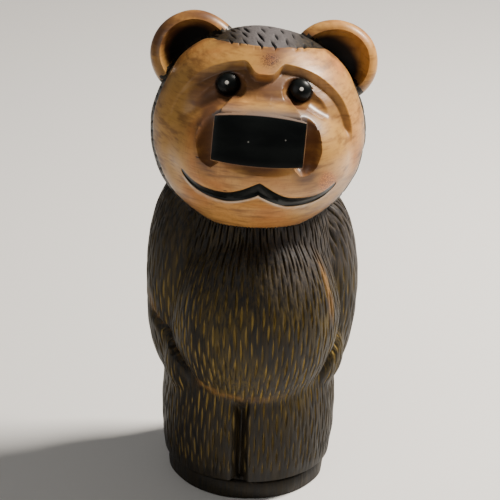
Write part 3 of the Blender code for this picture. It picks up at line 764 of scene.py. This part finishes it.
def new_group(name, inputs, outputs):
    group = bpy.data.node_groups.new(name, "ShaderNodeTree")
    for direction, sockets in (("INPUT", inputs), ("OUTPUT", outputs)):
        for socket, kind in sockets:
            group.interface.new_socket(socket, in_out=direction, socket_type="NodeSocket" + kind)
    return group, group.nodes.new("NodeGroupInput").outputs, group.nodes.new("NodeGroupOutput").inputs


fur_group, given, result = new_group(
    "black_brown_stain_and_painted_light",
    (("Cut", "Float"), ("Gold", "Float"), ("Rub", "Float"), ("GreyAndSheen", "Float")),
    (("Color", "Color"), ("Roughness", "Float"), ("Height", "Float")),
)
streak = stretched_noise(fur_group, (1, 1, 0.07), 520)
strand = stretched_noise(fur_group, (1, 1, 0.06), 230, 2.0)
patch = stretched_noise(fur_group, (1, 1, 0.6), 26)
ridge = blend(fur_group, fade(fur_group, streak, 0.40, 0.66), (0.0062, 0.0054, 0.0052), (0.023, 0.0155, 0.0065))
ridge = blend(fur_group, fade(fur_group, strand, 0.50, 0.68, 0.0, 0.8), ridge, (0.040, 0.027, 0.0100))
wash = sum_up(fur_group, "MULTIPLY", given["Gold"], fade(fur_group, patch, 0.62, 0.36))
olive = blend(fur_group, fade(fur_group, streak, 0.35, 0.65), (0.012, 0.0085, 0.002), (0.080, 0.054, 0.010))
ridge = blend(fur_group, sum_up(fur_group, "MULTIPLY", wash, 0.75), ridge, olive)
where = add(fur_group, "TexCoord").outputs["Object"]
up_log = add(fur_group, "SeparateXYZ", {"Vector": where}).outputs["Z"]
# Darker towards the foot: partly black stain, partly painted shade under the belly.
foot_stain_and_shade = sum_up(fur_group, "MULTIPLY", fade(fur_group, up_log, 0.130, 0.020, 0.0, 0.8), fade(fur_group, patch, 0.25, 0.6, 1.0, 0.7))
ridge = blend(fur_group, foot_stain_and_shade, ridge, (0.0040, 0.0032, 0.0028))
# painted sheen: the black is greyed over the crown and the right shoulder
grey_paint_and_sheen = blend(fur_group, streak, (0.055, 0.050, 0.051), (0.12, 0.108, 0.108))
ridge = blend(fur_group, given["GreyAndSheen"], ridge, grey_paint_and_sheen)
wood_in_cut = blend(fur_group, fade(fur_group, streak, 0.35, 0.65), (0.085, 0.055, 0.011), (0.30, 0.200, 0.045))
gilt = sum_up(fur_group, "MULTIPLY", given["Gold"], fade(fur_group, patch, 0.25, 0.5, 0.55, 1.0))
in_cut = blend(fur_group, gilt, (0.0030, 0.0030, 0.0034), wood_in_cut)
colour = blend(fur_group, fade(fur_group, given["Cut"], 0.10, 0.42), ridge, in_cut)
rubbed = sum_up(fur_group, "MULTIPLY", given["Rub"], fade(fur_group, strand, 0.35, 0.6, 0.20, 0.75))
colour = blend(fur_group, rubbed, colour, (0.26, 0.130, 0.032))
fur_group.links.new(colour, result["Color"])
fur_group.links.new(fade(fur_group, streak, 0.3, 0.7, 0.46, 0.66), result["Roughness"])
relief = sum_up(fur_group, "ADD", sum_up(fur_group, "MULTIPLY", streak, 0.7), sum_up(fur_group, "MULTIPLY", strand, 1.2))
fur_group.links.new(relief, result["Height"])


def start_material(material, coat, coat_roughness):
    """(tree, shader) of the material with its varnish coat set."""
    material.use_nodes = True
    tree = material.node_tree
    shader = tree.nodes["Principled BSDF"]
    shader.inputs["Coat Weight"].default_value = coat
    shader.inputs["Coat Roughness"].default_value = coat_roughness
    return tree, shader


def finish_material(tree, shader, colour, roughness, height, strength, distance):
    tree.links.new(colour, shader.inputs["Base Color"])
    tree.links.new(roughness, shader.inputs["Roughness"])
    bump = add(tree, "Bump", {"Height": height}, {"Strength": strength, "Distance": distance})
    tree.links.new(bump.outputs["Normal"], shader.inputs["Normal"])


tree, shader = start_material(slots[FUR], 0.05, 0.30)
shader.inputs["Specular IOR Level"].default_value = 0.2
fur = tree.nodes.new("ShaderNodeGroup")
fur.node_tree = fur_group
for socket, name in (("Cut", "cut"), ("Gold", "gold"), ("Rub", "rub"), ("GreyAndSheen", "hair_and_sheen")):
    tree.links.new(attribute(tree, name), fur.inputs[socket])
finish_material(tree, shader, fur.outputs["Color"], fur.outputs["Roughness"], fur.outputs["Height"], 0.6, 0.0007)

NICKS = ((-0.0543, -0.0271, 0.3), (-0.0270, -0.0550, 0.1))
tree, shader = start_material(slots[FACE], 0.09, 0.18)
shader.inputs["Specular IOR Level"].default_value = 0.35
place = add(tree, "TexCoord").outputs["Object"]
xyz = add(tree, "SeparateXYZ", {"Vector": place}).outputs
off_axis = sum_up(tree, "SQRT", sum_up(tree, "ADD", sum_up(tree, "POWER", xyz["X"], 2.0), sum_up(tree, "POWER", xyz["Y"], 2.0)))
swirl = stretched_noise(tree, (1, 1, 0.6), 22, 2.0)
ring_place = sum_up(tree, "ADD", sum_up(tree, "MULTIPLY", off_axis, 1100.0), sum_up(tree, "MULTIPLY", swirl, 26.0))
rings_in_wood = sum_up(tree, "SINE", ring_place)
fibre = stretched_noise(tree, (1, 1, 0.08), 420)
brushed = stretched_noise(tree, (0.18, 0.3, 1), 150)
fine_brush = stretched_noise(tree, (0.10, 0.2, 1), 420)
blotch = stretched_noise(tree, (0.7, 1, 1), 34, 4.0)
wide = stretched_noise(tree, (1, 1, 0.7), 12, 2.0)
colour = blend(tree, fade(tree, rings_in_wood, -1.0, 1.0, 0.0, 0.4), (0.50, 0.242, 0.066), (0.375, 0.162, 0.038))
colour = blend(tree, fade(tree, fibre, 0.45, 0.75, 0.0, 0.45), colour, (0.27, 0.115, 0.030))
colour = blend(tree, fade(tree, blotch, 0.46, 0.66, 0.0, 0.6), colour, (0.36, 0.118, 0.024))
colour = blend(tree, fade(tree, wide, 0.42, 0.62, 0.0, 0.75), colour, (0.37, 0.205, 0.048))
colour = blend(tree, fade(tree, brushed, 0.50, 0.70, 0.0, 0.7), colour, (0.15, 0.064, 0.018))
colour = blend(tree, fade(tree, fine_brush, 0.48, 0.72, 0.0, 0.5), colour, (0.19, 0.082, 0.024))
stained_and_shaded = sum_up(tree, "MULTIPLY", attribute(tree, "stain_and_shade"), fade(tree, blotch, 0.30, 0.62, 0.55, 1.15))
stained_and_shaded = sum_up(tree, "MULTIPLY", stained_and_shaded, fade(tree, brushed, 0.35, 0.65, 0.8, 1.1))
colour = blend(tree, fade(tree, stained_and_shaded, 0.05, 1.0, 0.0, 0.92), colour, (0.105, 0.044, 0.019))
speck = add(tree, "TexVoronoi", {"Vector": place}, {"Scale": 900.0}).outputs["Distance"]
burn = sum_up(tree, "MULTIPLY", attribute(tree, "scorch"), fade(tree, blotch, 0.30, 0.55, 0.6, 1.0))
colour = blend(tree, sum_up(tree, "MULTIPLY", burn, 0.9), colour, (0.13, 0.036, 0.014))
dots = sum_up(tree, "MULTIPLY", fade(tree, burn, 0.25, 0.8), fade(tree, speck, 0.58, 0.32))
colour = blend(tree, dots, colour, (0.028, 0.010, 0.006))
# painted reflection: the misted black on the nose's top is laid grey
mist_and_reflection_share = sum_up(tree, "MULTIPLY", attribute(tree, "mist_and_reflection"), fade(tree, blotch, 0.25, 0.6, 0.65, 0.95))
colour = blend(tree, mist_and_reflection_share, colour, (0.105, 0.082, 0.074))
crazed = add(tree, "TexVoronoi", {"Vector": place}, {"Scale": 420.0}, feature="DISTANCE_TO_EDGE").outputs["Distance"]
patch = sum_up(tree, "MULTIPLY", attribute(tree, "bare"), fade(tree, blotch, 0.3, 0.6, 0.6, 1.1))
colour = blend(tree, fade(tree, patch, 0.1, 0.7, 0.0, 0.85), colour, (0.56, 0.185, 0.030))
cracks = sum_up(tree, "MULTIPLY", fade(tree, patch, 0.2, 0.6), fade(tree, crazed, 0.10, 0.03, 0.0, 0.8))
colour = blend(tree, cracks, colour, (0.12, 0.045, 0.015))
# painted highlight: the pale line under the mouth
lip_highlight_share = sum_up(tree, "MULTIPLY", attribute(tree, "lip_highlight"), fade(tree, brushed, 0.35, 0.6, 0.45, 0.9))
colour = blend(tree, lip_highlight_share, colour, (0.62, 0.50, 0.38))
for across, up, lean in NICKS:
    out = float(face_out(across, up))
    middle = head_place @ Vector((across, -out, up))
    off = add(tree, "VectorMath", {0: place}, {1: tuple(middle)}, operation="SUBTRACT").outputs["Vector"]
    off = add(tree, "Mapping", {"Vector": off}, {"Rotation": (0, lean, 0), "Scale": (1, 0.5, 3.2)}).outputs[0]
    gap = add(tree, "VectorMath", {0: off}, operation="LENGTH").outputs["Value"]
    colour = blend(tree, fade(tree, gap, 0.0028, 0.0012), colour, (0.035, 0.016, 0.008))
sprayed_black_and_shade = fade(tree, sum_up(tree, "ADD", attribute(tree, "sprayed_black_and_shade"), sum_up(tree, "MULTIPLY", blotch, 0.35)), 0.42, 0.95)
colour = blend(tree, sprayed_black_and_shade, colour, (0.006, 0.0045, 0.004))
ragged = sum_up(tree, "ADD", attribute(tree, "past_edge"), fade(tree, blotch, 0.3, 0.7, -0.16, 0.16))
painted = sum_up(tree, "MAXIMUM", fade(tree, ragged, -0.04, 0.04), fade(tree, attribute(tree, "cut"), 0.25, 0.6))
fur = tree.nodes.new("ShaderNodeGroup")
fur.node_tree = fur_group
tree.links.new(attribute(tree, "cut"), fur.inputs["Cut"])
tree.links.new(attribute(tree, "hair_and_sheen"), fur.inputs["GreyAndSheen"])
colour = blend(tree, painted, colour, fur.outputs["Color"])
varnish = fade(tree, blotch, 0.3, 0.7, 0.32, 0.50)
roughness = sum_up(tree, "ADD", varnish, sum_up(tree, "MULTIPLY", painted, 0.06))
height = sum_up(tree, "ADD", sum_up(tree, "MULTIPLY", fine_brush, 0.9), sum_up(tree, "MULTIPLY", brushed, 0.8))
height = sum_up(tree, "ADD", height, sum_up(tree, "MULTIPLY", blotch, 1.4))
finish_material(tree, shader, colour, roughness, height, 0.3, 0.0005)

ball_out, panel_out = eye_floor - EYE_SINK + EYE_RADIUS * EYE_BULGE, muzzle_front + NOSE_PROUD - NOSE_LEAN / 2
SPECKS = (
    (-EYE_SPACING / 2 - 0.0016, ball_out, EYE_HEIGHT + 0.0012, 0.0018, 1.0),
    (EYE_SPACING / 2 + 0.0006, ball_out, EYE_HEIGHT + 0.0014, 0.0018, 1.0),
    (-0.0113, panel_out, -0.0086, 0.0007, 0.35),
    (0.0213, panel_out, -0.0042, 0.0007, 0.35),
)
tree, shader = start_material(slots[BLACK], 0.03, 0.10)
shader.inputs["Specular IOR Level"].default_value = 0.2
place = add(tree, "TexCoord").outputs["Object"]
white = 0.0
for across, out, up, radius, strength in SPECKS:
    middle = head_place @ Vector((across, -out, up))
    gap = add(tree, "VectorMath", {0: place}, {1: tuple(middle)}, operation="DISTANCE").outputs["Value"]
    white = sum_up(tree, "MAXIMUM", white, fade(tree, gap, radius + 0.0002, radius - 0.0003, 0.0, strength))
smear = stretched_noise(tree, (0.4, 1, 1), 60)
colour = blend(tree, fade(tree, smear, 0.3, 0.7), (0.0012, 0.0020, 0.0022), (0.0036, 0.0052, 0.0050))
colour = blend(tree, white, colour, (0.75, 0.73, 0.68))
finish_material(tree, shader, colour, fade(tree, smear, 0.3, 0.7, 0.28, 0.40), smear, 0.25, 0.0006)

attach(bear, "root")
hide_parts("carved_bear")

# ---------------------------------------------------------------- floor, light and camera

TARGET, ELEVATION, DISTANCE, ROLL, FOCAL_PIXELS = (-0.0034, 0, 0.2282), radians(25), 2.2, 0.0356, 2327
bm = bmesh.new()
bmesh.ops.create_grid(bm, x_segments=1, y_segments=1, size=6)
floor_mesh = bpy.data.meshes.new("floor")
bm.to_mesh(floor_mesh)
bm.free()
pale = bpy.data.materials.new("pale_floor")
pale.use_nodes = True
pale.node_tree.nodes["Principled BSDF"].inputs["Base Color"].default_value = (0.80, 0.79, 0.77, 1)
pale.node_tree.nodes["Principled BSDF"].inputs["Roughness"].default_value = 0.6
floor_mesh.materials.append(pale)
floor = bpy.data.objects.new("floor", floor_mesh)
bpy.context.scene.collection.objects.link(floor)

for name, place, size, power, colour in (
    ("key", (1.25, 0.38, 1.8), 0.45, 125, (1.0, 0.93, 0.84)),
    ("fill", (-1.3, -1.7, 1.4), 1.6, 12, (1.0, 0.98, 0.95)),
):
    lamp = bpy.data.lights.new(name, "AREA")
    lamp.energy, lamp.size, lamp.color = power, size, colour
    lamp_object = bpy.data.objects.new(name, lamp)
    lamp_object.location = place
    lamp_object.rotation_euler = (Vector((0, 0, 0.25)) - Vector(place)).to_track_quat("-Z", "Y").to_euler()
    bpy.context.scene.collection.objects.link(lamp_object)
world = bpy.data.worlds.new("soft_room")
world.use_nodes = True
world.node_tree.nodes["Background"].inputs["Color"].default_value = (1, 0.98, 0.95, 1)
world.node_tree.nodes["Background"].inputs["Strength"].default_value = 0.14
bpy.context.scene.world = world

camera = bpy.data.cameras.new("camera")
camera.sensor_width = 36
camera.lens = camera.sensor_width * FOCAL_PIXELS / 500
camera_object = bpy.data.objects.new("camera", camera)
back = Vector((0, -cos(ELEVATION), sin(ELEVATION)))
right = Vector((cos(ROLL), 0, 0)) + Vector((0, sin(ELEVATION), cos(ELEVATION))) * sin(ROLL)
up = back.cross(right)
place = Vector(TARGET) + back * DISTANCE
camera_object.matrix_world = Matrix(
    [(right[i], up[i], back[i], place[i]) for i in range(3)] + [(0, 0, 0, 1)]
)
bpy.context.scene.collection.objects.link(camera_object)
bpy.context.scene.camera = camera_object
